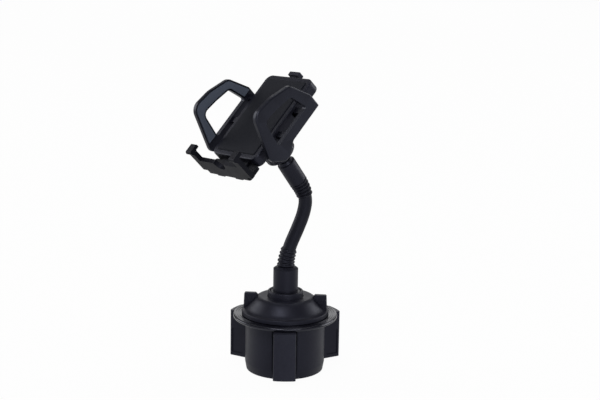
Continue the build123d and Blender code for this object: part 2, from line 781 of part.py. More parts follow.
def case_outline(inset=0.0):
    """The case's outline, drawn in by an inset."""
    return plate(CASE_HALF_W - inset, CASE_BOTTOM + inset, CASE_TOP - inset, CASE_CORNER - inset)


def case_openings():
    """The openings in the case's walls for the arms' bars, the foot's rails and the slider."""
    gap = SLIDE_GAP
    wall = CASE_WALL + 1
    cuts = []
    for side in (1, -1):
        x0, x1 = sorted((side * (CASE_HALF_W - wall), side * (CASE_HALF_W + 1)))
        for near, far in ((tooth_tip_y, rack_back), (-guide_far, -guide_near)):
            low, high = sorted((GEAR_Y + side * near, GEAR_Y + side * far))
            cuts.append(block(x0, x1, low - gap, high + gap, bar_bottom - gap, bar_top + gap))
        half = RAIL_W / 2 + gap
        x = side * RAIL_X
        sill, lintel = rail_bottom - gap, rail_top + gap
        cuts.append(block(x - half, x + half, CASE_BOTTOM - 1, CASE_BOTTOM + wall, sill, lintel))
    half = SLIDER_W / 2 + gap
    cuts.append(block(-half, half, CASE_TOP - wall, CASE_TOP + 1, slider_low - gap, slider_high + gap))
    return cuts


def case_screw_places():
    """The four case screws, as (x, y)."""
    low = CASE_BOTTOM + CASE_SCREW_INSET
    high = CASE_TOP - CASE_SCREW_INSET
    return [(x, y) for x in (-CASE_SCREW_X, CASE_SCREW_X) for y in (low, high)]


def socket_screw_places():
    """The three screws that hold the ball socket on the case, as (x, y)."""
    orbit = (SOCKET_R + SOCKET_FLANGE_R) / 2
    spots = []
    for angle in (-90, 30, 150):
        turn = math.radians(angle)
        spots.append((orbit * math.cos(turn), orbit * math.sin(turn) - BALL_DOWN))
    return spots


def back_cover():
    """The rear half of the case, with screw bosses, the spring's stop and the foot's fences."""
    cover = prism(case_outline(), CASE_BACK, CASE_SPLIT)
    cover = fillet(cover.faces().sort_by(Axis.Z)[0].edges(), 1.5)
    cover -= prism(case_outline(CASE_WALL), inner_floor, CASE_SPLIT + 1)
    for x, y in case_screw_places():
        cover += Pos(x, y) * disc(BOSS_R, inner_floor - 0.5, CASE_SPLIT)
        seat = Pos(x, y, CASE_BACK + CASE_SCREW_SINK) * Rot(180, 0, 0)
        cover -= seat * screw_hole(CASE_SPLIT - CASE_BACK, 3)
    for x, y in socket_screw_places():
        cover -= Pos(x, y, inner_floor) * screw_hole(CASE_WALL + 1)
    half = SLIDER_W / 2
    cover += block(-half, half, SPRING_STOP_Y - 1.5, SPRING_STOP_Y, inner_floor - 0.5, CASE_SPLIT)
    near = RAIL_X - RAIL_W / 2 - SLIDE_GAP
    for side in (-1, 1):
        x0, x1 = sorted((side * near, side * (near - FENCE_T)))
        cover += block(x0, x1, CASE_BOTTOM + 1, RAIL_TOP_Y, inner_floor - 0.5, CASE_SPLIT)
    for cut in case_openings():
        cover -= cut
    return cover


def front_cover():
    """The front half of the case, recessed for the pad."""
    cover = prism(case_outline(), CASE_SPLIT, CASE_FRONT)
    cover = fillet(cover.faces().sort_by(Axis.Z)[-1].edges(), 1.2)
    cover -= prism(case_outline(CASE_WALL), CASE_SPLIT - 1, inner_roof)
    for x, y in case_screw_places():
        cover += Pos(x, y) * disc(BOSS_R, CASE_SPLIT, inner_roof + 0.5)
        cover -= Pos(x, y) * disc(SCREW_R + SEAT_FIT, CASE_SPLIT - 1, inner_roof)
    cover -= prism(case_outline(PAD_MARGIN - SEAT_FIT), CASE_FRONT - PAD_RECESS, CASE_FRONT + 1)
    for cut in case_openings():
        cover -= cut
    return cover


def front_pad():
    """The soft pad that the phone's back rests on."""
    pad = prism(case_outline(PAD_MARGIN), CASE_FRONT - PAD_RECESS, CASE_FRONT + PAD_PROUD)
    return chamfer(pad.faces().sort_by(Axis.Z)[-1].edges(), 0.4)


def case_screws():
    """The four screws that close the case from behind."""
    driver = Rot(180, 0, 0) * screw(inner_roof - CASE_BACK - CASE_SCREW_SINK - 0.3)
    return [Pos(x, y, CASE_BACK + CASE_SCREW_SINK) * driver for x, y in case_screw_places()]


def ball_socket():
    """The flanged tube behind the case that houses the ball and its collet."""
    flange_low = CASE_BACK - SOCKET_FLANGE_T
    tip = SOCKET_TIP_BELOW - BALL_BEHIND
    body = disc(SOCKET_R, tip, CASE_BACK) + disc(SOCKET_FLANGE_R, flange_low, CASE_BACK)
    body = chamfer(body.edges().filter_by(GeomType.CIRCLE).group_by(SortBy.RADIUS)[-1], 0.5)
    body = Pos(0, -BALL_DOWN) * body
    dome = ball_place * Sphere(BALL_R + RUN_FIT + PAD_T + SLIDE_GAP)
    body -= dome & Pos(0, -BALL_DOWN) * disc(SOCKET_R, COLLET_ABOVE - BALL_BEHIND, CASE_BACK)
    body -= Pos(0, -BALL_DOWN) * disc(COLLET_R + RUN_FIT, tip - 1, COLLET_ABOVE - BALL_BEHIND)
    for x, y in socket_screw_places():
        body -= Pos(x, y) * disc(SCREW_R + SEAT_FIT, flange_low + 0.4, CASE_BACK + 1)
    return body


def socket_screws():
    """The three screws from inside the case into the ball socket's flange."""
    length = CASE_WALL + SOCKET_FLANGE_T - 0.6
    return [Pos(x, y, inner_floor) * screw(length) for x, y in socket_screw_places()]


def friction_pad():
    """The cupped pad between the top of the ball and the socket."""
    inner = BALL_R + RUN_FIT
    tall = inner + PAD_T + 1
    wedge = Cone(0, tall * math.tan(math.radians(PAD_SPREAD)), tall, align=STANDING)
    return ball_place * ((Sphere(inner + PAD_T) - Sphere(inner)) & wedge)


def collet():
    """The split ring that grips the ball when the nut is tightened."""
    body = disc(COLLET_R, -COLLET_BELOW, COLLET_ABOVE) - Sphere(BALL_R + RUN_FIT)
    for k in range(COLLET_SPLITS):
        split = block(0, COLLET_R + 1, -0.5, 0.5, -COLLET_BELOW - 1, COLLET_ABOVE - COLLET_HOOP)
        body -= Rot(0, 0, 360 * k / COLLET_SPLITS) * split
    return ball_place * body


def lock_nut():
    """The ribbed nut that closes the ball socket."""
    low = -COLLET_BELOW - NUT_LIP
    high = low + NUT_LEN
    body = chamfer(disc(NUT_R, low, high).edges().filter_by(GeomType.CIRCLE), 0.8)
    body -= disc(SOCKET_R + SLIDE_GAP, low + NUT_LIP, high + 1)
    body -= disc(NUT_OPENING_R, low - 1, low + NUT_LIP + 1)
    for k in range(NUT_GRIPS):
        place = Rot(0, 0, 360 * k / NUT_GRIPS) * Pos(NUT_R + GRIP_R - GRIP_DEPTH, 0, 0)
        body -= place * disc(GRIP_R, low + GRIP_MARGIN, high - GRIP_MARGIN)
    return ball_place * body


# ================================================================ racks, pinion and arms


def tooth_half_angle(radius):
    """Half the angle that a pinion tooth fills at a radius, for an involute flank."""
    press = math.radians(PRESSURE_ANGLE)
    local = math.acos(min(1.0, pitch_r * math.cos(press) / radius))
    thickness = math.pi * GEAR_MODULE / 2 - BACKLASH
    return thickness / (2 * pitch_r) + (math.tan(press) - press) - (math.tan(local) - local)


def pinion():
    """The pinion that ties the two racks together, with one tooth on +Y."""
    base_r = pitch_r * math.cos(math.radians(PRESSURE_ANGLE))
    tip_r = pitch_r + addendum
    flank = [base_r + (tip_r - base_r) * k / 4 for k in range(5)]
    outline = []
    for tooth in range(GEAR_TEETH):
        middle = math.pi / 2 + 2 * math.pi * tooth / GEAR_TEETH
        half = [(pitch_r - dedendum, tooth_half_angle(base_r))]
        half += [(radius, tooth_half_angle(radius)) for radius in flank]
        for radius, turn in [(r, -a) for r, a in half] + half[::-1]:
            outline.append((radius * math.cos(middle + turn), radius * math.sin(middle + turn)))
    low, high = bar_bottom + SLIDE_GAP, bar_top - SLIDE_GAP
    wheel = prism(make_face(Polyline(*outline, close=True)), low, high)
    return Pos(0, GEAR_Y) * (wheel - disc(AXLE_R + RUN_FIT, low - 1, high + 1))


def pinion_axle():
    """The pin that the pinion turns on, standing on the rear cover."""
    pin = disc(AXLE_R, inner_floor, bar_top - SLIDE_GAP) + disc(AXLE_R + 1.4, inner_floor, bar_bottom)
    return Pos(0, GEAR_Y) * pin


def rack(x_end, x_root):
    """A toothed bar between two X values, teeth facing -Y, with a space on X = 0."""
    pitch = math.pi * GEAR_MODULE
    slope = math.tan(math.radians(PRESSURE_ANGLE))
    thick = (pitch / 2 - BACKLASH) / 2
    top_half = thick - addendum * slope
    root_half = thick + dedendum * slope
    bar = block(x_end, x_root, tooth_root_y, rack_back, bar_bottom, bar_top)
    first = math.ceil((x_end + root_half) / pitch - 0.5)
    last = math.floor((CASE_HALF_W - CASE_WALL - ARM_IN) / pitch - 0.5)
    for k in range(first, last + 1):
        x = (k + 0.5) * pitch
        tooth = Polyline(
            (x - root_half, tooth_root_y + 0.1),
            (x - root_half, tooth_root_y),
            (x - top_half, tooth_tip_y),
            (x + top_half, tooth_tip_y),
            (x + root_half, tooth_root_y),
            (x + root_half, tooth_root_y + 0.1),
            close=True,
        )
        bar += prism(make_face(tooth), bar_bottom, bar_top)
    return bar


def rounded(corners):
    """A flat face from (across, up, rounding) corners."""
    face = make_face(Polyline(*[(a, b) for a, b, _ in corners], close=True))
    for a, b, radius in corners:
        corner = face.vertices().sort_by_distance(Vector(a, b, 0))[0]
        face = fillet(corner, radius)
    return face


def stand_up(face, low, high):
    """A face drawn as (along the phone, out of the screen), raised between two X values."""
    side_plane = Plane(origin=(low, 0, 0), x_dir=(0, 1, 0), z_dir=(1, 0, 0))
    return extrude(side_plane * face, high - low)


def pad_face(shrink):
    """The arm pad's face: the loop in front of the case, less its rim and the window's rim."""
    front = Pos(0, PAD_BACK + shrink + BEYOND / 2) * Rectangle(2 * BEYOND, BEYOND)
    face = offset(rounded(LOOP_CORNERS), -ARM_BAND - shrink) & front
    return face - offset(rounded(WINDOW_CORNERS), ARM_BAND + shrink)


def arm_loop():
    """The right side loop, with the seat of its pad."""
    frame = stand_up(rounded(LOOP_CORNERS), ARM_INNER + ARM_RIM, ARM_OUTER)
    frame = fillet(frame.faces().sort_by(Axis.X)[-1].edges(), 1.4)
    frame -= stand_up(rounded(WINDOW_CORNERS), ARM_INNER - 1, ARM_OUTER + 1)
    return frame - stand_up(pad_face(-PAD_GROOVE), ARM_INNER, ARM_INNER + ARM_PAD_T)


def arm_bars():
    """The right arm's rack and guide bar."""
    guide = block(-GUIDE_REACH, bar_root, -guide_far, -guide_near, bar_bottom, bar_top)
    return Pos(0, GEAR_Y) * (rack(-RACK_REACH, bar_root) + guide)


def arm_pad():
    """The soft face of the right arm."""
    return stand_up(pad_face(0), ARM_INNER, ARM_INNER + ARM_PAD_T)


def half_turn(shape):
    """A cradle piece turned half a turn about the pinion's axis."""
    return Pos(0, GEAR_Y) * Rot(0, 0, 180) * Pos(0, -GEAR_Y) * shape


def mirrored(shape):
    """A right-hand cradle piece made left-handed."""
    return mirror(shape, Plane.YZ)


# ================================================================ foot, release and springs


def hook(side):
    """One hooked arm of the foot, with an upturned tip."""
    tip_back = HOOK_FRONT - HOOK_LIP_T
    heel_y = ledge_low - HOOK_HEEL
    outline = [
        (HOOK_BACK, ledge_low, 1.5),
        (tip_back - 2, ledge_low, 3.0),
        (tip_back + 0.5, heel_y, 1.0),
        (HOOK_FRONT, heel_y, 1.6),
        (HOOK_FRONT, HOOK_LIP_Y, 1.2),
        (tip_back, HOOK_LIP_Y, 0.8),
        (tip_back, LEDGE_Y, 0.8),
        (HOOK_BACK, LEDGE_Y, 0.5),
    ]
    face = rounded([(y, z, radius) for z, y, radius in outline])
    low, high = sorted((side * HOOK_IN, side * HOOK_OUT))
    return stand_up(face, low, high)


def hook_pad_box(grow):
    """The strip on the right hook's ledge that its pad fills, grown by a clearance."""
    middle = (HOOK_IN + HOOK_OUT) / 2
    half = (HOOK_OUT - HOOK_IN) / 2 - 1.0 + grow
    front = HOOK_FRONT - HOOK_LIP_T - 1.0 + grow
    back = HOOK_BACK + 2.0 - grow
    return block(middle - half, middle + half, LEDGE_Y - HOOK_PAD_T, LEDGE_Y + PAD_STAND, back, front)


def foot_bracket():
    """The sliding foot: two rails, a plate, a ledge with a cable notch and two hooks."""
    front = FOOT_PLATE_BACK + FOOT_PLATE_T
    top = CASE_BOTTOM - SLIDE_GAP
    foot = block(-FOOT_HALF_W, FOOT_HALF_W, ledge_low, top, FOOT_PLATE_BACK, front)
    foot = fillet(foot.edges().filter_by(Axis.Z), 2.0)
    foot += block(-HOOK_IN - 1, HOOK_IN + 1, ledge_low, LEDGE_Y, front - 1, LEDGE_FRONT)
    half = RAIL_W / 2
    for side in (-1, 1):
        x = side * RAIL_X
        foot += block(x - half, x + half, LEDGE_Y, RAIL_TOP_Y, rail_bottom, rail_top)
        foot += block(x - half, x + half, ledge_low, top, FOOT_PLATE_BACK - RIB_H, front)
        foot += hook(side)
        foot -= mirrored(hook_pad_box(SEAT_FIT)) if side < 0 else hook_pad_box(SEAT_FIT)
    upright = Rot(-90, 0, 0) * Cylinder(NOTCH_R, LEDGE_T + 2, align=STANDING)
    notch = Pos(0, ledge_low - 1, LEDGE_FRONT) * upright
    return foot - notch


def hook_pads():
    """The two soft strips that the phone stands on."""
    strip = hook_pad_box(0)
    return [strip, mirrored(strip)]


def release_button():
    """The release button on the case's top edge, with its slider, spring lug and pawl."""
    half = SLIDER_W / 2
    pawl_y = GEAR_Y - guide_far - SLIDE_GAP
    cap_low = CASE_TOP + BUTTON_TRAVEL + SLIDE_GAP
    cap_high = cap_low + BUTTON_H
    cap = block(-BUTTON_W / 2, BUTTON_W / 2, cap_low, cap_high, CASE_SPLIT - 2.0, CASE_FRONT - 0.8)
    cap = fillet(cap.edges().group_by(Axis.Y)[-1], 1.0)
    button = cap + block(-half, half, pawl_y - PAWL_T, cap_low + 0.5, slider_low, slider_high)
    button += block(-half, half, SPRING_LUG_Y, SPRING_LUG_Y + 1.6, rail_bottom, slider_high)
    return button + block(-PAWL_W / 2, PAWL_W / 2, pawl_y - PAWL_T, pawl_y, bar_bottom + 0.3, slider_high)


def spring(length):
    """A compression spring along +Z from the origin."""
    rise = length - 2 * SPRING_WIRE_R
    path = Helix(pitch=rise / SPRING_TURNS, height=rise, radius=SPRING_COIL_R)
    wire = Plane(origin=path @ 0, z_dir=path % 0) * Circle(SPRING_WIRE_R)
    return Pos(0, 0, SPRING_WIRE_R) * sweep(wire, path=path, is_frenet=True)


def release_spring():
    """The spring that lifts the release button."""
    middle = (inner_floor + slider_low) / 2
    place = Plane(origin=(0, SPRING_STOP_Y + 0.1, middle), z_dir=(0, 1, 0)).location
    return place * spring(SPRING_LUG_Y - SPRING_STOP_Y - 0.2)


def arm_spring():
    """The spring that pushes the right arm out, between its rack's end and the far wall."""
    wall = CASE_WALL - CASE_HALF_W
    middle = (bar_bottom + bar_top) / 2
    start = (wall + 0.1, GEAR_Y + rack_back - RACK_W / 2, middle)
    place = Plane(origin=start, z_dir=(1, 0, 0)).location
    return place * spring(-RACK_REACH - wall - 0.2)


# ================================================================ write the pieces

base_nodes = {
    "foot_pad": foot_pad(),
    "cup_shell": cup_shell(),
    "base_flange": base_flange(),
    "flange_screws": flange_screws(),
    "center_post": center_post(),
    "post_screws": post_screws(),
    "thrust_washer": thrust_washer(),
    "dial_knob": dial_knob(),
    "scroll_plate": scroll_plate(),
    "spindle_clip": spindle_clip(),
    "stem_collar": stem_collar(),
    "stem": stem(),
    "neck_anchor": neck_anchor(),
    "neck_root_core": neck_root_core(),
    "lower_boot": lower_boot(),
    "upper_boot": upper_boot(),
    "upper_tube": upper_tube(),
    "ball_stud": ball_stud(),
}
for k, angle in enumerate(wing_angles, start=1):
    base_nodes[f"wing_{k}"] = Rot(0, 0, angle) * wing()
for k in range(1, len(NECK_LINKS) + 1):
    base_nodes[f"neck_sleeve_{k}"] = neck_sleeve(k)
    base_nodes[f"neck_core_{k}"] = neck_core(k)

cradle_nodes = {
    "friction_pad": friction_pad(),
    "collet": collet(),
    "ball_socket": ball_socket(),
    "socket_screws": socket_screws(),
    "lock_nut": lock_nut(),
    "back_cover": back_cover(),
    "front_cover": front_cover(),
    "front_pad": front_pad(),
    "case_screws": case_screws(),
    "pinion": pinion(),
    "pinion_axle": pinion_axle(),
    "arm_right": arm_loop() + arm_bars(),
    "arm_left": mirrored(arm_loop()) + half_turn(arm_bars()),
    "arm_pad_right": arm_pad(),
    "arm_pad_left": mirrored(arm_pad()),
    "arm_spring_right": arm_spring(),
    "arm_spring_left": half_turn(arm_spring()),
    "release_button": release_button(),
    "release_spring": release_spring(),
    "foot_bracket": foot_bracket(),
    "hook_pads": hook_pads(),
}


def write(name, shape, place):
    """Export one piece, or one set of like pieces, as parts/NAME.step."""
    if isinstance(shape, list):
        shape = Compound(children=[place * solid for one in shape for solid in one.solids()])
    else:
        shape = place * shape
    export_step(shape, os.path.join("parts", name + ".step"))


os.makedirs("parts", exist_ok=True)
for name, shape in base_nodes.items():
    write(name, shape, Pos(0, 0, 0))
for name, shape in cradle_nodes.items():
    write(name, shape, cradle)
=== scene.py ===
"""Dresses the cup-holder phone mount: moulded plastic, the smooth neck hose, its ribbed boots,
the grip ribs on the dial's ears, and the studio that it is seen in.

Every length is in metres and every piece stands in the CAD model's own frame.
"""

import json
import logging
import math
from dataclasses import dataclass, field
from enum import Enum
from typing import Callable, Iterable, Sequence

import bpy
from mathutils import Matrix, Vector


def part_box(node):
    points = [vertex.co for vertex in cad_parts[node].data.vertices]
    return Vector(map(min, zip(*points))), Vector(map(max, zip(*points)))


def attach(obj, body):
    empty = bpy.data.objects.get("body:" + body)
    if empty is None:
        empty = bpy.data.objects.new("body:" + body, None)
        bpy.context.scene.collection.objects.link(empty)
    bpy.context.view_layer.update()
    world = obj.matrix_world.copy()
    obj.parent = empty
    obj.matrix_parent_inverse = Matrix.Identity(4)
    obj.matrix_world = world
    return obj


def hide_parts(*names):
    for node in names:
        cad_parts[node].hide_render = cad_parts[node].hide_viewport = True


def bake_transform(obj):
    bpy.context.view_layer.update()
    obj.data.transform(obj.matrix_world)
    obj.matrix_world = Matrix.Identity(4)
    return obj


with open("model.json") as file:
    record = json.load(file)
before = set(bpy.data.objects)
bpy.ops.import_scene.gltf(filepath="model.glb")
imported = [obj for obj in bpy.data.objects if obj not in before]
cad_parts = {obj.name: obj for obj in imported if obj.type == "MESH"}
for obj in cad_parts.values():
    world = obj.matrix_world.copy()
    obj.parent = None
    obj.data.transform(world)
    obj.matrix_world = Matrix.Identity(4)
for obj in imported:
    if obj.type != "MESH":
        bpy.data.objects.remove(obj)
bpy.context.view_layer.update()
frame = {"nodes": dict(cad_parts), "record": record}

logging.basicConfig(level=logging.INFO, format="%(name)s: %(message)s")
log = logging.getLogger("phone_mount")

Node = bpy.types.Node
Socket = bpy.types.NodeSocket
Tree = bpy.types.ShaderNodeTree
Object = bpy.types.Object
Material = bpy.types.Material
Triple = tuple[float, float, float]

WHITE = (1.0, 1.0, 1.0, 1.0)
SHADING_ANGLE = 35.0  # degrees; edges flatter than this shade smooth
HANDLE_SHARE = 0.36  # of the way to the next point, for a guide curve's handles
GUIDE_RESOLUTION = 32
SLEEVE_SIDES = 64
COAT_ROUGHNESS = 0.12
# how far the edge mask spreads; the mask is wear and a painted edge highlight
EDGE_WEAR_HIGHLIGHT_REACH = 0.35
COLOUR_CLOUD_GAIN = 4.0  # the cloud's contrast for each unit of a finish's bloom
GLOSS_CLOUD_SCALE = 140.0
GLOSS_CLOUD_GAIN = 2.0  # the cloud reaches half a unit to either side


# ---------------------------------------------------------------- the model's own places


def joint_point(name: str) -> Vector:
    """Where a hinge of the record stands.

    Args:
        name: The joint's name.

    Returns:
        The hinge's point at rest, in metres.
    """
    for joint in frame["record"]["behaviour"]["joints"]:
        if joint["name"] == name:
            return Vector(joint["pos_m"])
    raise KeyError(name)


def node_height(name: str) -> tuple[float, float]:
    """The lowest and highest Z of a CAD node.

    Args:
        name: The node's name.

    Returns:
        The two heights in metres.
    """
    low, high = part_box(name)
    return low[2], high[2]


# ---------------------------------------------------------------- shader helpers


def feed(tree: Tree, value: Socket | float, socket: Socket) -> None:
    """Gives a socket its value: a link where the value is a socket, else a number.

    Args:
        tree: The node tree.
        value: The value.
        socket: The input socket.
    """
    if isinstance(value, float):
        socket.default_value = value
    else:
        tree.links.new(value, socket)


def maths(tree: Tree, kind: str, *values: Socket | float, clamp: bool = False) -> Socket:
    """One maths step.

    Args:
        tree: The node tree.
        kind: The operation.
        values: Its values in order, each a socket or a number.
        clamp: Whether the result is kept between 0 and 1.

    Returns:
        The result's socket.
    """
    step = tree.nodes.new("ShaderNodeMath")
    step.operation = kind
    step.use_clamp = clamp
    for value, socket in zip(values, step.inputs):
        feed(tree, value, socket)
    return step.outputs[0]


def object_place(tree: Tree) -> Socket:
    """Where a point of the surface lies in the object's own frame.

    Args:
        tree: The node tree.

    Returns:
        The place's socket.
    """
    return tree.nodes.new("ShaderNodeTexCoord").outputs["Object"]


def noise(tree: Tree, place: Socket, scale: Socket, detail: float) -> Socket:
    """A noise pattern at a linked scale.

    Args:
        tree: The node tree.
        place: Where the pattern is read.
        scale: The scale's socket.
        detail: The noise's detail.

    Returns:
        The pattern's height.
    """
    pattern = tree.nodes.new("ShaderNodeTexNoise")
    pattern.inputs["Detail"].default_value = detail
    tree.links.new(place, pattern.inputs["Vector"])
    tree.links.new(scale, pattern.inputs["Scale"])
    return pattern.outputs["Fac"]


def blend_shaders(tree: Tree, share: Socket, first: Node, second: Node, output: str) -> None:
    """Mixes two shaders and sends them to the tree's output.

    Args:
        tree: The node tree.
        share: The second shader's share.
        first: The first shader.
        second: The second shader.
        output: The output node's type.
    """
    mix = tree.nodes.new("ShaderNodeMixShader")
    for source, socket in zip((share, first.outputs[0], second.outputs[0]), mix.inputs):
        feed(tree, source, socket)
    feed(tree, mix.outputs[0], tree.nodes.new(output).inputs["Surface"])


# ---------------------------------------------------------------- shared shader effects


class Effect(Enum):
    """The shader node groups that the finishes share."""

    GRAIN = "moulded_grain"
    WEAR = "edge_wear_and_highlight"
    BLOOM = "surface_bloom"
    BRUSHING = "drawn_lines"


@dataclass
class EffectShelf:
    """Builds each shared shader group once."""

    made: dict[Effect, Tree] = field(default_factory=dict)

    def group(self, effect: Effect) -> Tree:
        """The group of an effect, built the first time it is asked for.

        Args:
            effect: Which effect.

        Returns:
            The shader node group.
        """
        if effect not in self.made:
            builders: dict[Effect, Callable[[], Tree]] = {
                Effect.GRAIN: self.build_grain,
                Effect.WEAR: self.build_wear_and_highlight,
                Effect.BLOOM: self.build_bloom,
                Effect.BRUSHING: self.build_brushing,
            }
            self.made[effect] = builders[effect]()
        return self.made[effect]

    def start(
        self, effect: Effect, inputs: Sequence[tuple[str, float]], output: str
    ) -> tuple[Tree, dict[str, Socket], Socket]:
        """An empty group with its sockets.

        Args:
            effect: The effect that the group makes.
            inputs: Each input's name and first value.
            output: The output's name.

        Returns:
            The group, its inputs' sockets by name, and the socket that takes its result.
        """
        tree = bpy.data.node_groups.new(effect.value, "ShaderNodeTree")
        for name, value in inputs:
            socket = tree.interface.new_socket(name, in_out="INPUT", socket_type="NodeSocketFloat")
            socket.default_value = value
        tree.interface.new_socket(output, in_out="OUTPUT", socket_type="NodeSocketFloat")
        given = tree.nodes.new("NodeGroupInput").outputs
        result = tree.nodes.new("NodeGroupOutput").inputs[output]
        return tree, {name: given[name] for name, _ in inputs}, result

    def build_grain(self) -> Tree:
        """The fine spark-eroded grain of a moulded part, as a height."""
        broad_share = 0.24  # the broad pattern's scale over the fine one's
        tree, given, result = self.start(
            Effect.GRAIN, [("Scale", 2600.0), ("Softness", 0.5)], "Height"
        )
        place = object_place(tree)
        fine = noise(tree, place, given["Scale"], 3.0)
        broad = noise(tree, place, maths(tree, "MULTIPLY", given["Scale"], broad_share), 2.0)
        blend = maths(tree, "MULTIPLY", broad, given["Softness"])
        feed(tree, maths(tree, "ADD", fine, blend), result)
        return tree

    def build_wear_and_highlight(self) -> Tree:
        """A mask of the sharp edges, broken up by noise: wear and a painted edge highlight."""
        least_sharp, most_sharp = 0.52, 0.62  # pointiness, where 0.5 is flat
        tree, given, result = self.start(
            Effect.WEAR, [("Breakup Scale", 420.0), ("Reach", EDGE_WEAR_HIGHLIGHT_REACH)], "Mask"
        )
        sharp = tree.nodes.new("ShaderNodeMapRange")
        sharp.inputs["From Min"].default_value = least_sharp
        sharp.inputs["From Max"].default_value = most_sharp
        shape = tree.nodes.new("ShaderNodeNewGeometry").outputs["Pointiness"]
        feed(tree, shape, sharp.inputs["Value"])
        breakup = noise(tree, object_place(tree), given["Breakup Scale"], 4.0)
        spread = maths(tree, "ADD", breakup, given["Reach"])
        feed(tree, maths(tree, "MULTIPLY", sharp.outputs["Result"], spread), result)
        return tree

    def build_bloom(self) -> Tree:
        """Slow cloudy variation, as of handling and settling dust."""
        tree, given, result = self.start(Effect.BLOOM, [("Scale", 60.0), ("Contrast", 1.6)], "Mask")
        cloud = noise(tree, object_place(tree), given["Scale"], 5.0)
        centred = maths(tree, "SUBTRACT", cloud, 0.5)
        feed(tree, maths(tree, "MULTIPLY", centred, given["Contrast"]), result)
        return tree

    def build_brushing(self) -> Tree:
        """Fine lines round the Z axis, as turning or drawing leaves them."""
        stretch = (0.04, 0.04, 1.0)  # slow round the axis, fine along it
        tree, given, result = self.start(Effect.BRUSHING, [("Scale", 3000.0)], "Height")
        squeeze = tree.nodes.new("ShaderNodeMapping")
        squeeze.inputs["Scale"].default_value = stretch
        feed(tree, object_place(tree), squeeze.inputs["Vector"])
        feed(tree, noise(tree, squeeze.outputs["Vector"], given["Scale"], 2.0), result)
        return tree


SHELF = EffectShelf()


# ---------------------------------------------------------------- finishes


def linear(code: str) -> tuple[float, float, float, float]:
    """A screen colour as scene-linear red, green, blue and alpha, by the sRGB curve.

    Args:
        code: The colour as six hexadecimal digits.

    Returns:
        The linear colour.
    """
    parts = [int(code[k : k + 2], 16) / 255 for k in (0, 2, 4)]
    red, green, blue = (c / 12.92 if c <= 0.04045 else ((c + 0.055) / 1.055) ** 2.4 for c in parts)
    return red, green, blue, 1.0


@dataclass(frozen=True)
class Finish:
    """A surface: its colour, gloss, grain, and edge wear with a painted edge highlight. The grain's
    depth is in metres.
    """

    name: str
    colour: str
    # the colour of the lightened sharp edges: wear and a painted edge highlight
    edge_wear_highlight_colour: str
    roughness: float
    roughness_swing: float = 0.08
    metallic: float = 0.0
    grain_scale: float = 2600.0
    grain_depth: float = 0.00001
    # how much the sharp edges lighten: wear and a painted edge highlight
    edge_wear_highlight: float = 0.35
    bloom: float = 0.05
    coat: float = 0.0
    specular: float = 0.5
    sheen_colour: str = "d4d8f2"
    drawn: bool = False

    def build(self) -> Material:
        """Builds the finish as a material."""
        skin = bpy.data.materials.new(self.name)
        skin.use_nodes = True
        tree = skin.node_tree
        tree.nodes.clear()
        surface = tree.nodes.new("ShaderNodeBsdfPrincipled")
        output = tree.nodes.new("ShaderNodeOutputMaterial")
        tree.links.new(surface.outputs["BSDF"], output.inputs["Surface"])
        surface.inputs["Metallic"].default_value = self.metallic
        surface.inputs["Specular IOR Level"].default_value = self.specular
        surface.inputs["Coat Weight"].default_value = self.coat
        surface.inputs["Coat Roughness"].default_value = COAT_ROUGHNESS
        surface.inputs["Specular Tint"].default_value = linear(self.sheen_colour)
        self.colour_nodes(tree, surface)
        self.roughness_nodes(tree, surface)
        self.relief_nodes(tree, surface)
        skin.diffuse_color = linear(self.colour)
        return skin

    def place(self, tree: Tree, effect: Effect, values: dict[str, float]) -> Node:
        """Places a shared effect in the material.

        Args:
            tree: The material's node tree.
            effect: Which effect.
            values: The effect's input values by name.

        Returns:
            The group node.
        """
        node = tree.nodes.new("ShaderNodeGroup")
        node.node_tree = SHELF.group(effect)
        for name, value in values.items():
            node.inputs[name].default_value = value
        return node

    def colour_nodes(self, tree: Tree, surface: Node) -> None:
        """The colour: the base, lightened on sharp edges as wear and as a painted edge highlight,
        and varied by bloom.

        Args:
            tree: The material's node tree.
            surface: The shader that takes it.
        """
        contrast = self.bloom * COLOUR_CLOUD_GAIN
        # sharp edges lighten: wear, and a painted edge highlight
        edge_wear_highlight = self.place(tree, Effect.WEAR, {"Reach": EDGE_WEAR_HIGHLIGHT_REACH}).outputs["Mask"]
        bloom = self.place(tree, Effect.BLOOM, {"Contrast": contrast}).outputs["Mask"]
        amount = maths(tree, "MULTIPLY_ADD", edge_wear_highlight, self.edge_wear_highlight, bloom, clamp=True)
        mix = tree.nodes.new("ShaderNodeMix")
        mix.data_type = "RGBA"
        ends = {"A": linear(self.colour), "B": linear(self.edge_wear_highlight_colour)}
        for socket in mix.inputs:
            if socket.type == "RGBA" and socket.name in ends:
                socket.default_value = ends[socket.name]
            if socket.type == "VALUE" and socket.name == "Factor":
                feed(tree, amount, socket)
        result = next(socket for socket in mix.outputs if socket.type == "RGBA")
        feed(tree, result, surface.inputs["Base Color"])

    def roughness_nodes(self, tree: Tree, surface: Node) -> None:
        """The gloss, swung a little by the bloom.

        Args:
            tree: The material's node tree.
            surface: The shader that takes it.
        """
        cloud = self.place(tree, Effect.BLOOM, {"Scale": GLOSS_CLOUD_SCALE, "Contrast": 1.0})
        swing = self.roughness_swing * GLOSS_CLOUD_GAIN
        level = maths(
            tree, "MULTIPLY_ADD", cloud.outputs["Mask"], swing, self.roughness, clamp=True
        )
        feed(tree, level, surface.inputs["Roughness"])

    def relief_nodes(self, tree: Tree, surface: Node) -> None:
        """The relief: grain or drawn lines.

        Args:
            tree: The material's node tree.
            surface: The shader that takes it.
        """
        effect = Effect.BRUSHING if self.drawn else Effect.GRAIN
        relief = self.place(tree, effect, {"Scale": self.grain_scale})
        bump = tree.nodes.new("ShaderNodeBump")
        bump.inputs["Strength"].default_value = 1.0
        bump.inputs["Distance"].default_value = self.grain_depth
        feed(tree, relief.outputs["Height"], bump.inputs["Height"])
        feed(tree, bump.outputs["Normal"], surface.inputs["Normal"])
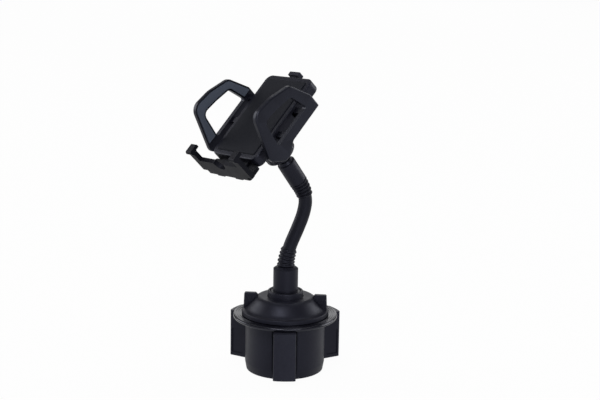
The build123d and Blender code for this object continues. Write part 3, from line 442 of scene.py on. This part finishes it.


# each finish's second colour lightens its sharp edges: wear, and a painted edge highlight
SATIN = Finish("satin_charcoal_plastic", "14141d", "32333f", roughness=0.42, specular=0.42)
WING = Finish("wing_charcoal_plastic", "13131c", "32333f", roughness=0.4, specular=0.42)
GLOSSY = Finish(
    "polished_charcoal_plastic", "111119", "30313c", roughness=0.2, roughness_swing=0.04,
    grain_depth=0.000003, coat=0.3,
)
ARM = Finish("arm_charcoal_plastic", "12131b", "343641", roughness=0.34, grain_depth=0.000012)
# The foot bracket is painted darker than the other charcoal parts: painted shade for its faces that
# turn down, away from the lamps.
SHADED_FOOT = Finish("foot_plastic_painted_shade", "08080c", "25262e", roughness=0.5, specular=0.2)
SLATE = Finish(
    "slate_soft_rubber", "4b525f", "646b79", roughness=0.62, grain_scale=1800.0,
    grain_depth=0.00002, edge_wear_highlight=0.2,
)
SLEEVE = Finish(
    "neck_rubber", "111119", "282a34", roughness=0.5, grain_scale=2000.0, edge_wear_highlight=0.1, specular=0.4,
)
PAD = Finish(
    "matte_pad_rubber", "131418", "25272d", roughness=0.7, grain_scale=1500.0,
    grain_depth=0.00003, edge_wear_highlight=0.15, specular=0.35,
)
ACETAL = Finish(
    "black_acetal", "101114", "2a2c31", roughness=0.25, roughness_swing=0.05, grain_depth=0.000004,
)
GEAR = Finish("natural_acetal", "d4cfc0", "e8e4d8", roughness=0.4, grain_depth=0.000006)
STEEL = Finish(
    "drawn_steel", "a9abae", "cdced0", roughness=0.3, metallic=1.0, grain_depth=0.000006,
    drawn=True,
)
SCREW = Finish(
    "zinc_screw_steel", "8d9094", "b9bbbe", roughness=0.35, metallic=1.0, grain_depth=0.000006,
    drawn=True,
)


@dataclass
class Paintbox:
    """Builds each finish once and lays it on CAD nodes and new pieces."""

    made: dict[str, Material] = field(default_factory=dict)

    def material(self, finish: Finish) -> Material:
        """The material of a finish.

        Args:
            finish: The finish.

        Returns:
            Its material, the same one each time.
        """
        if finish.name not in self.made:
            self.made[finish.name] = finish.build()
        return self.made[finish.name]

    def lay(self, finish: Finish, *things: Object) -> None:
        """Lays a finish all over some objects.

        Args:
            finish: The finish.
            things: The objects.
        """
        skin = self.material(finish)
        for thing in things:
            thing.data.materials.clear()
            thing.data.materials.append(skin)

    def lay_on_nodes(self, finish: Finish, *names: str) -> None:
        """Lays a finish on CAD nodes.

        Args:
            finish: The finish.
            names: The nodes' names.
        """
        for name in names:
            node = frame["nodes"][name]
            for slot in node.material_slots:
                slot.material = self.material(finish)
            if not node.material_slots:
                node.data.materials.append(self.material(finish))
            log.info("finish %s on %s", finish.name, name)


PAINT = Paintbox()


# ---------------------------------------------------------------- modelling helpers


def only(*things: Object) -> None:
    """Selects just these objects and makes the first one active.

    Args:
        things: The objects.
    """
    bpy.ops.object.select_all(action="DESELECT")
    for thing in things:
        thing.select_set(True)
    bpy.context.view_layer.objects.active = things[0]


def settle(thing: Object, name: str, smooth_angle: float = SHADING_ANGLE) -> Object:
    """Names a finished object, applies its place to its mesh and shades it.

    Args:
        thing: The object.
        name: Its new name.
        smooth_angle: Edges flatter than this, in degrees, shade smooth.

    Returns:
        The object.
    """
    only(thing)
    bpy.ops.object.transform_apply(location=True, rotation=True, scale=True)
    bpy.ops.object.shade_smooth_by_angle(angle=math.radians(smooth_angle))
    thing.name = name
    thing.data.name = name
    return thing


def apply_all(thing: Object) -> None:
    """Applies every modifier of an object, from the top.

    Args:
        thing: The object.
    """
    only(thing)
    for modifier in list(thing.modifiers):
        bpy.ops.object.modifier_apply(modifier=modifier.name)


def guide_curve(points: Sequence[Vector], ways: Sequence[Vector], name: str) -> Object:
    """A smooth path through points, for a Curve modifier.

    Args:
        points: The points.
        ways: The direction of travel at each point.
        name: The curve's name.

    Returns:
        The curve object, at the origin.
    """
    bpy.ops.object.select_all(action="DESELECT")
    bpy.ops.curve.primitive_bezier_curve_add(location=(0, 0, 0))
    path = bpy.context.active_object
    path.name = name
    spline = path.data.splines[0]
    spline.bezier_points.add(len(points) - 2)
    for k, (point, way) in enumerate(zip(points, ways)):
        knot = spline.bezier_points[k]
        before = (points[k] - points[k - 1]).length if k else (points[1] - points[0]).length
        after = (points[k + 1] - points[k]).length if k + 1 < len(points) else before
        knot.co = point
        knot.handle_left_type = knot.handle_right_type = "FREE"
        knot.handle_left = point - way * before * HANDLE_SHARE
        knot.handle_right = point + way * after * HANDLE_SHARE
    path.data.resolution_u = GUIDE_RESOLUTION
    path.data.twist_mode = "MINIMUM"
    path.data.use_radius = False
    return path


@dataclass(frozen=True)
class Station:
    """A ring of a turned sleeve: how far along it stands, and its radius."""

    along: float
    radius: float


def turned_sleeve(
    stations: Iterable[Station], wall: float, name: str, sides: int = SLEEVE_SIDES
) -> Object:
    """A hollow sleeve along +X, pulled out ring by ring from one round edge.

    Args:
        stations: The rings, in order.
        wall: The wall's thickness, inwards.
        name: The object's name.
        sides: How many sides a ring has.

    Returns:
        The sleeve, with its wall.
    """
    rings = list(stations)
    bpy.ops.object.select_all(action="DESELECT")
    bpy.ops.mesh.primitive_circle_add(
        vertices=sides, radius=rings[0].radius, fill_type="NOTHING",
        location=(rings[0].along, 0, 0), rotation=(0, math.pi / 2, 0),
    )
    sleeve = bpy.context.active_object
    bpy.ops.object.transform_apply(location=True, rotation=True, scale=True)
    bpy.ops.object.mode_set(mode="EDIT")
    bpy.ops.mesh.select_all(action="SELECT")
    for last, ring in zip(rings, rings[1:]):
        step = ring.along - last.along
        bpy.ops.mesh.extrude_region_move(TRANSFORM_OT_translate={"value": (step, 0, 0)})
        grow = ring.radius / last.radius
        bpy.ops.transform.resize(value=(1, grow, grow), center_override=(ring.along, 0, 0))
    bpy.ops.mesh.select_all(action="SELECT")
    bpy.ops.mesh.normals_make_consistent(inside=False)
    bpy.ops.object.mode_set(mode="OBJECT")
    solid = sleeve.modifiers.new("wall", "SOLIDIFY")
    solid.thickness = wall
    solid.offset = -1.0
    apply_all(sleeve)
    sleeve.name = name
    return sleeve


def lay_along(piece: Object, path: Object) -> None:
    """Bends a piece built along +X on to a path, and applies it.

    Args:
        piece: The piece.
        path: The guide curve.
    """
    bend = piece.modifiers.new("path", "CURVE")
    bend.object = path
    bend.deform_axis = "POS_X"
    apply_all(piece)


# ---------------------------------------------------------------- the neck


# One rib of a boot: shares of the pitch, and how far each rises from groove to crest.
RIB_PROFILE = (
    (0.0, 0.0), (0.1, 0.3), (0.22, 0.85), (0.32, 1.0), (0.46, 1.0), (0.56, 0.8), (0.68, 0.3),
    (0.8, 0.0),
)


@dataclass
class FlexibleNeck:
    """The bendable neck: a smooth hose in six lengths, and the two ribbed boots.

    Lengths are in metres and shading angles in degrees.
    """

    hinge_count: int = 6
    hose_radius: float = 0.0055
    hose_wall: float = 0.0014
    hose_sides: int = 48
    hose_shading: float = 60.0
    hose_in_stem: float = 0.001  # below the stem's top
    hose_in_tube: float = 0.0085  # past the last hinge
    step: float = 0.0006  # between the hose's rings
    least_rings: int = 8
    lower_rib_pitch: float = 0.003
    lower_ribs: int = 5
    lower_rib_radius: float = 0.0073
    lower_root_radius: float = 0.0063
    lower_taper: float = 0.00015
    upper_ribs: int = 5
    upper_rib_pitch: float = 0.0031
    upper_rib_radius: float = 0.0075
    upper_root_radius: float = 0.0066
    upper_taper: float = 0.0002
    tube_start: float = 0.0125  # from the ball's centre
    tube_length: float = 0.0205
    boot_wall: float = 0.0008
    boot_shading: float = 50.0
    boot_guide_tail: float = 0.004  # past the first link's middle
    boot_seat: float = 0.0002  # the plain edge below the first rib
    boot_end: float = 0.0001  # short of the last rib's pitch
    hinges: list[Vector] = field(default_factory=list)
    ways: list[Vector] = field(default_factory=list)
    middles: list[Vector] = field(default_factory=list)
    bodies: list[str] = field(default_factory=list)

    def measure(self) -> None:
        """Reads the hinges of the record and works out the links between them."""
        self.hinges = [joint_point(f"neck_bend_{k + 1}") for k in range(self.hinge_count)]
        ball = joint_point("ball_pitch")
        up = Vector((0, 0, 1))
        links = [b - a for a, b in zip(self.hinges, self.hinges[1:])]
        self.ways = [up] + [link.normalized() for link in links]
        self.ways.append((ball - self.hinges[-1]).normalized())
        self.middles = [(a + b) / 2 for a, b in zip(self.hinges, self.hinges[1:])]
        root = Vector((0, 0, node_height("stem")[1] - self.hose_in_stem))
        reach = min(self.hose_in_tube, (ball - self.hinges[-1]).length / 3)
        self.middles = [root] + self.middles + [self.hinges[-1] + self.ways[-1] * reach]
        between = [f"neck_link_{k}" for k in range(1, self.hinge_count)]
        self.bodies = ["base"] + between + ["head"]

    def path(self, k: int) -> Object:
        """The guide of a hinge, from the middle of one link to the middle of the next.

        Args:
            k: The hinge, from 0.

        Returns:
            The guide curve.
        """
        return guide_curve(
            [self.middles[k], self.middles[k + 1]], [self.ways[k], self.ways[k + 1]], f"guide_{k}"
        )

    def boot(self, rings: Iterable[Station], path: Object, name: str) -> Object:
        """A boot laid along its guide and finished; the guide is deleted.

        Args:
            rings: The boot's rings.
            path: The guide curve.
            name: The boot's name.

        Returns:
            The boot.
        """
        boot = turned_sleeve(rings, self.boot_wall, name)
        lay_along(boot, path)
        bpy.data.objects.remove(path)
        settle(boot, name, self.boot_shading)
        PAINT.lay(SLEEVE, boot)
        return boot

    def build_hose(self, k: int) -> Object:
        """The hose over hinge k.

        Args:
            k: The hinge, from 0.

        Returns:
            The finished piece.
        """
        path = self.path(k)
        length = path.data.splines[0].calc_length()
        count = max(self.least_rings, round(length / self.step))
        rings = [Station(length * i / count, self.hose_radius) for i in range(count + 1)]
        hose = turned_sleeve(rings, self.hose_wall, f"neck_hose_{k + 1}", self.hose_sides)
        lay_along(hose, path)
        bpy.data.objects.remove(path)
        settle(hose, f"neck_hose_{k + 1}", self.hose_shading)
        PAINT.lay(SLEEVE, hose)
        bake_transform(hose)
        log.info("neck hose %d: %.1f mm", k + 1, length * 1000)
        return hose

    def rib_rings(
        self, start: float, pitch: float, ribs: int, root: Sequence[float], crest: Sequence[float]
    ) -> list[Station]:
        """The rings of a ribbed boot: rounded crests with narrow grooves between them.

        Args:
            start: Where the first rib begins.
            pitch: From one rib to the next.
            ribs: How many ribs.
            root: Each groove's radius.
            crest: Each rib's radius.

        Returns:
            The rings in order.
        """
        rings = []
        for k in range(ribs):
            for part, rise in RIB_PROFILE:
                radius = root[k] + (crest[k] - root[k]) * rise
                rings.append(Station(start + pitch * (k + part), radius))
        return rings

    def build_lower_boot(self) -> None:
        """The ribbed boot on the stem."""
        root = Vector((0, 0, node_height("lower_boot")[0]))
        tail = self.middles[1] + self.ways[1] * self.boot_guide_tail
        path = guide_curve([root, tail], [self.ways[0], self.ways[1]], "guide_boot")
        length = self.lower_rib_pitch * self.lower_ribs
        crest = [self.lower_rib_radius - self.lower_taper * k for k in range(self.lower_ribs)]
        base = [self.lower_root_radius - self.lower_taper / 2 * k for k in range(self.lower_ribs)]
        rings = self.rib_rings(
            self.boot_seat, self.lower_rib_pitch, self.lower_ribs, base, crest
        )
        rings = [Station(0.0, base[0])] + rings + [Station(length - self.boot_end, base[-1])]
        boot = self.boot(rings, path, "neck_boot_lower")
        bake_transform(boot)
        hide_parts("lower_boot")
        log.info("lower boot: %d ribs", self.lower_ribs)

    def build_upper_boot(self) -> None:
        """The ribbed boot under the head tube."""
        pitch = self.upper_rib_pitch
        length = pitch * self.upper_ribs
        turn = self.hinges[-1]
        ball = joint_point("ball_pitch")
        reach = (ball - turn).length - self.tube_start - self.tube_length
        tube_end = turn + self.ways[-1] * reach
        tail = turn - self.ways[-2] * (length - reach)
        path = guide_curve([tube_end, tail], [-self.ways[-1], -self.ways[-2]], "guide_boot")
        crest = [self.upper_rib_radius - self.upper_taper * k for k in range(self.upper_ribs)]
        base = [self.upper_root_radius - self.upper_taper * k for k in range(self.upper_ribs)]
        rings = self.rib_rings(0.0, pitch, self.upper_ribs, base, crest)
        boot = self.boot(rings, path, "neck_boot_upper")
        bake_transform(boot)
        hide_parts("upper_boot")
        log.info("upper boot: %d ribs", self.upper_ribs)

    def build(self) -> None:
        """Builds the hose and the boots, and dresses the neck's CAD nodes."""
        self.measure()
        hoses = [self.build_hose(k) for k in range(self.hinge_count)]
        for k in range(1, self.hinge_count):
            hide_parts(f"neck_sleeve_{k}")
        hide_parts("neck_anchor")
        self.build_lower_boot()
        self.build_upper_boot()
        cores = [f"neck_core_{k}" for k in range(1, self.hinge_count)]
        PAINT.lay_on_nodes(STEEL, "neck_root_core", *cores)
        PAINT.lay_on_nodes(SATIN, "upper_tube")
        PAINT.lay_on_nodes(ACETAL, "ball_stud")


# ---------------------------------------------------------------- the cup base


@dataclass
class CupBase:
    """The cup, its flange, dial, wings and works, and the grip ribs on the dial's ears.

    Lengths are in metres and angles in degrees.
    """

    ear_angles: tuple[float, float] = (-5.0, 175.0)
    ear_face: float = 0.0022
    rib_count: int = 4
    rib_pitch: float = 0.0022
    rib_first: float = 0.0252
    rib_width: float = 0.0007
    rib_length: float = 0.0074
    rib_height: float = 0.0004
    rib_slant: float = 28.0
    rib_drop: float = 0.0062
    rib_edge_share: float = 0.3

    def ear_rib(self, along: float, side: int, height: float) -> Object:
        """One grip rib: a bar with rounded edges, half sunk in the ear's face.

        Args:
            along: How far out the rib's middle is.
            side: Which face of the ear, 1 or -1.
            height: The height of the rib's middle.

        Returns:
            The rib, on the ear that points along +X.
        """
        bpy.ops.object.select_all(action="DESELECT")
        bpy.ops.mesh.primitive_cube_add(
            size=1.0,
            location=(along, side * self.ear_face, height),
            rotation=(0, math.radians(self.rib_slant), 0),
            scale=(self.rib_width, 2 * self.rib_height, self.rib_length),
        )
        rib = bpy.context.active_object
        bpy.ops.object.transform_apply(location=True, rotation=True, scale=True)
        bpy.ops.object.mode_set(mode="EDIT")
        bpy.ops.mesh.select_all(action="SELECT")
        edge = self.rib_width * self.rib_edge_share
        bpy.ops.mesh.bevel(offset=edge, segments=3, affect="EDGES")
        bpy.ops.object.mode_set(mode="OBJECT")
        return rib

    def build_ear_ribs(self) -> None:
        """The grip ribs on both faces of each thumb ear."""
        middle = node_height("dial_knob")[1] - self.rib_drop
        for number, angle in enumerate(self.ear_angles, start=1):
            ribs = [
                self.ear_rib(self.rib_first + k * self.rib_pitch, side, middle)
                for k in range(self.rib_count)
                for side in (-1, 1)
            ]
            only(*ribs)
            bpy.ops.object.join()
            grip = bpy.context.active_object
            grip.matrix_world = Matrix.Rotation(math.radians(angle), 4, "Z") @ grip.matrix_world
            settle(grip, f"ear_ribs_{number}")
            PAINT.lay(SATIN, grip)
            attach(grip, "dial")
            log.info("ear ribs %d: %d on each face", number, self.rib_count)

    def build(self) -> None:
        """Builds the ear ribs and dresses the base's CAD nodes."""
        self.build_ear_ribs()
        PAINT.lay_on_nodes(SATIN, "cup_shell", "dial_knob", "stem_collar", "stem", "scroll_plate")
        PAINT.lay_on_nodes(GLOSSY, "base_flange")
        PAINT.lay_on_nodes(WING, "wing_1", "wing_2", "wing_3")
        PAINT.lay_on_nodes(PAD, "foot_pad")
        PAINT.lay_on_nodes(STEEL, "center_post", "thrust_washer", "spindle_clip")
        PAINT.lay_on_nodes(SCREW, "flange_screws", "post_screws")


# ---------------------------------------------------------------- the ball joint and the cradle


def dress_ball_joint() -> None:
    """Dresses the socket, its friction pad, collet and nut."""
    PAINT.lay_on_nodes(SATIN, "ball_socket", "lock_nut")
    PAINT.lay_on_nodes(ACETAL, "collet")
    PAINT.lay_on_nodes(PAD, "friction_pad")
    PAINT.lay_on_nodes(SCREW, "socket_screws")


def dress_cradle() -> None:
    """Dresses the case, the arms and the foot."""
    PAINT.lay_on_nodes(SATIN, "back_cover", "front_cover", "release_button")
    # the foot's darker plastic is painted shade
    PAINT.lay_on_nodes(SHADED_FOOT, "foot_bracket")
    PAINT.lay_on_nodes(ARM, "arm_right", "arm_left")
    PAINT.lay_on_nodes(SLATE, "arm_pad_right", "arm_pad_left", "hook_pads")
    PAINT.lay_on_nodes(PAD, "front_pad")
    PAINT.lay_on_nodes(GEAR, "pinion")
    PAINT.lay_on_nodes(
        STEEL, "pinion_axle", "arm_spring_right", "arm_spring_left", "release_spring"
    )
    PAINT.lay_on_nodes(SCREW, "case_screws")


# ---------------------------------------------------------------- the studio


@dataclass(frozen=True)
class Lamp:
    """A square soft lamp: where it hangs and its side in metres, and its power in watts."""

    name: str
    place: Triple
    size: float
    power: float


LAMPS = (
    Lamp("key", (-0.9, -2.2, 3.0), 1.6, 46.0),
    Lamp("left", (-2.5, 1.1, 1.0), 1.8, 24.0),
    Lamp("right", (2.5, 1.1, 1.0), 1.8, 24.0),
    Lamp("fill", (0.9, -2.8, 0.9), 1.8, 26.0),
    Lamp("back", (0.0, 3.2, 1.0), 1.8, 8.0),
    Lamp("top", (0.1, 0.9, 3.4), 2.0, 16.0),
)


@dataclass
class Studio:
    """The white ground, the soft lamps and the camera.

    Lengths are in metres, and the camera's angles in radians; its lens is in millimetres.
    """

    eye: Triple = (0.0, -1.1417, 0.4092)
    down_tilt: float = 0.229
    turn: float = 0.0094
    roll: float = -0.0164
    lens: float = 86.74
    sensor: float = 36.0
    nearest: float = 0.01
    farthest: float = 50.0
    ground_size: float = 24.0
    ground_shade: float = 0.35
    ground_glow: float = 1.07
    seen_share: float = 0.9
    mirrored_share: float = 0.4
    sky_level: float = 0.13
    seen_sky_level: float = 1.0
    aim: Triple = (0.0, 0.0, 0.12)

    def camera(self) -> None:
        """Sets the camera."""
        flat = math.cos(self.down_tilt)
        ahead = Vector(
            (math.sin(self.turn) * flat, math.cos(self.turn) * flat, -math.sin(self.down_tilt))
        )
        level = Vector((math.cos(self.turn), -math.sin(self.turn), 0))
        under = ahead.cross(level)
        right = level * math.cos(self.roll) + under * math.sin(self.roll)
        below = under * math.cos(self.roll) - level * math.sin(self.roll)
        lens = bpy.data.cameras.new("camera")
        lens.lens = self.lens
        lens.sensor_width = self.sensor
        lens.clip_start = self.nearest
        lens.clip_end = self.farthest
        holder = bpy.data.objects.new("camera", lens)
        bpy.context.collection.objects.link(holder)
        pose = Matrix((right, -below, -ahead)).transposed().to_4x4()
        pose.translation = Vector(self.eye)
        holder.matrix_world = pose
        bpy.context.scene.camera = holder

    def ground(self) -> None:
        """Lays the white ground, which keeps the shadow."""
        bpy.ops.object.select_all(action="DESELECT")
        bpy.ops.mesh.primitive_plane_add(size=self.ground_size, location=(0, 0, 0))
        floor = bpy.context.active_object
        skin = bpy.data.materials.new("white_ground")
        skin.use_nodes = True
        tree = skin.node_tree
        tree.nodes.clear()
        card = tree.nodes.new("ShaderNodeBsdfDiffuse")
        card.inputs["Color"].default_value = (*[self.ground_shade] * 3, 1.0)
        glow = tree.nodes.new("ShaderNodeEmission")
        glow.inputs["Color"].default_value = WHITE
        glow.inputs["Strength"].default_value = self.ground_glow
        rays = tree.nodes.new("ShaderNodeLightPath").outputs
        seen = maths(tree, "MULTIPLY", rays["Is Camera Ray"], self.seen_share)
        share = maths(tree, "MULTIPLY_ADD", rays["Is Glossy Ray"], self.mirrored_share, seen)
        blend_shaders(tree, share, card, glow, "ShaderNodeOutputMaterial")
        floor.data.materials.append(skin)
        floor.name = "ground"

    def sky(self) -> None:
        """Sets the even white surround."""
        world = bpy.data.worlds.new("studio")
        bpy.context.scene.world = world
        world.use_nodes = True
        tree = world.node_tree
        tree.nodes.clear()
        plain, seen = (tree.nodes.new("ShaderNodeBackground") for _ in range(2))
        for node, level in ((plain, self.sky_level), (seen, self.seen_sky_level)):
            node.inputs["Color"].default_value = WHITE
            node.inputs["Strength"].default_value = level
        rays = tree.nodes.new("ShaderNodeLightPath").outputs
        blend_shaders(tree, rays["Is Camera Ray"], plain, seen, "ShaderNodeOutputWorld")

    def hang(self, lamp: Lamp) -> None:
        """Hangs a lamp, so that it faces the mount.

        Args:
            lamp: The lamp.
        """
        light = bpy.data.lights.new(lamp.name, "AREA")
        light.size = lamp.size
        light.energy = lamp.power
        holder = bpy.data.objects.new(lamp.name, light)
        bpy.context.collection.objects.link(holder)
        holder.location = lamp.place
        way = Vector(self.aim) - Vector(lamp.place)
        holder.rotation_euler = way.to_track_quat("-Z", "Y").to_euler()

    def build(self) -> None:
        """Sets the whole studio."""
        self.camera()
        self.ground()
        self.sky()
        for lamp in LAMPS:
            self.hang(lamp)
        bpy.context.scene.view_settings.view_transform = "Standard"


def main() -> None:
    """Builds and dresses every sub-assembly in order."""
    Studio().build()
    CupBase().build()
    FlexibleNeck().build()
    dress_ball_joint()
    dress_cradle()


if __name__ == "__main__":
    main()
